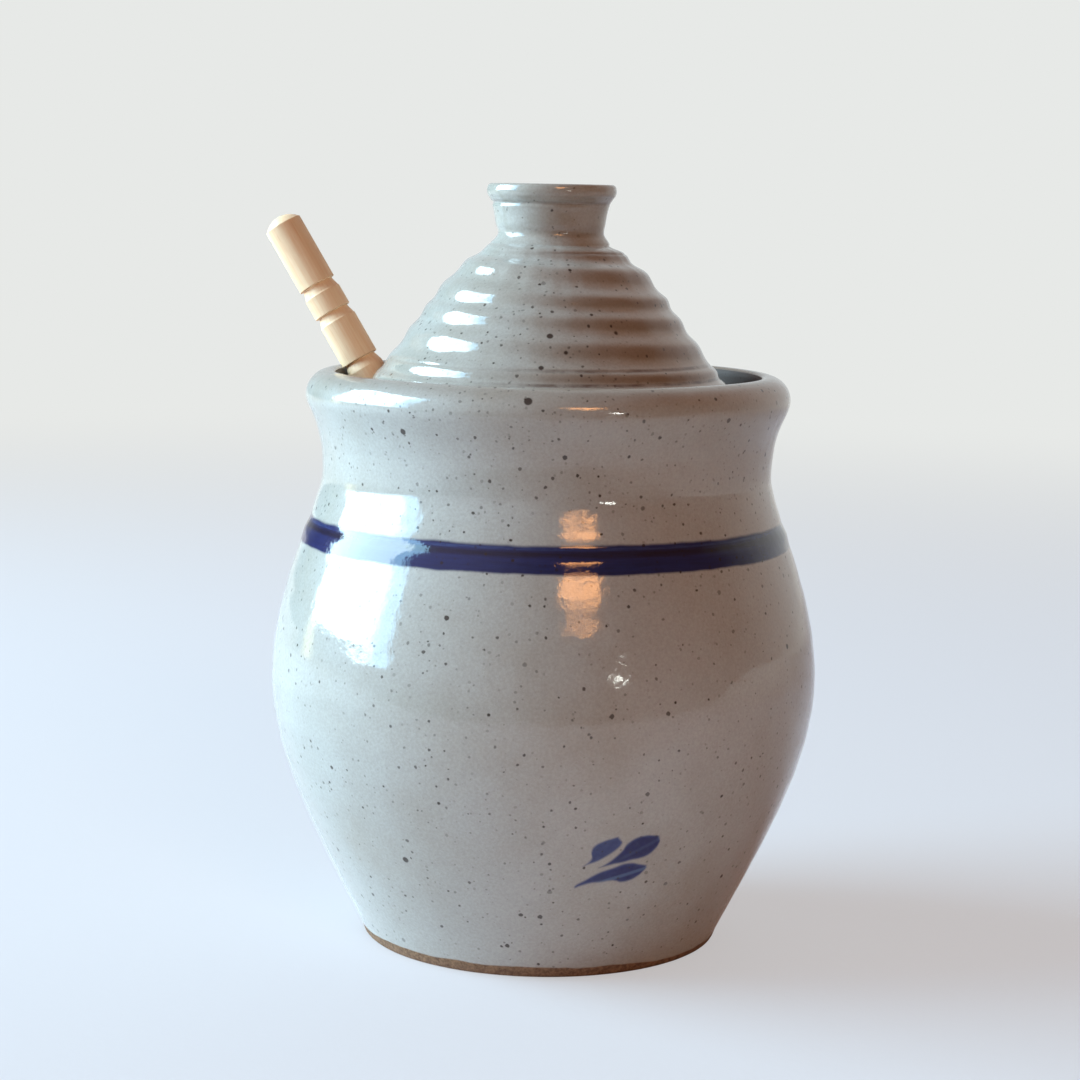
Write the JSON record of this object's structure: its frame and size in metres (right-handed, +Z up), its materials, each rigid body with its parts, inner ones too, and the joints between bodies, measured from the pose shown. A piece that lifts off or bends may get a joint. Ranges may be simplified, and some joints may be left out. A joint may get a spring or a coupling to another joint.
{
  "type": "honey pot",
  "caption": "Bulbous glazed stoneware jar with a loose ridged cone lid, knob on top, and a turned wooden honey dipper leaning through the lid's notch.",
  "frame": {"origin": "middle of the jar's flat underside, on the surface that it stands on", "axes": "+Z up along the jar's axis; -Y is the front, which carries the painted sprig; the dipper's handle leaves the jar towards -X, 10 degrees behind it"},
  "size_m": [0.1166, 0.114, 0.1566],
  "materials": {
    "jar_glaze": "glossy light grey speckled glaze with a cobalt blue band, bare clay at the foot",
    "lid_glaze": "glossy warm grey speckled glaze",
    "dipper_wood": "fine-turned bare pale hardwood"
  },
  "bodies": {
    "jar": {"jar": "jar_glaze"},
    "dipper": {"dipper": "dipper_wood"},
    "lid": {"lid": "lid_glaze"}
  },
  "joints": [
    {"name": "dipper_lift", "type": "slide", "parent": "jar", "child": "dipper", "axis": [0, 0, 1], "range_m": [0, 0.13]},
    {"name": "lid_lift", "type": "slide", "parent": "dipper", "child": "lid", "axis": [0, 0, 1], "range_m": [0, 0.06]}
  ]
}
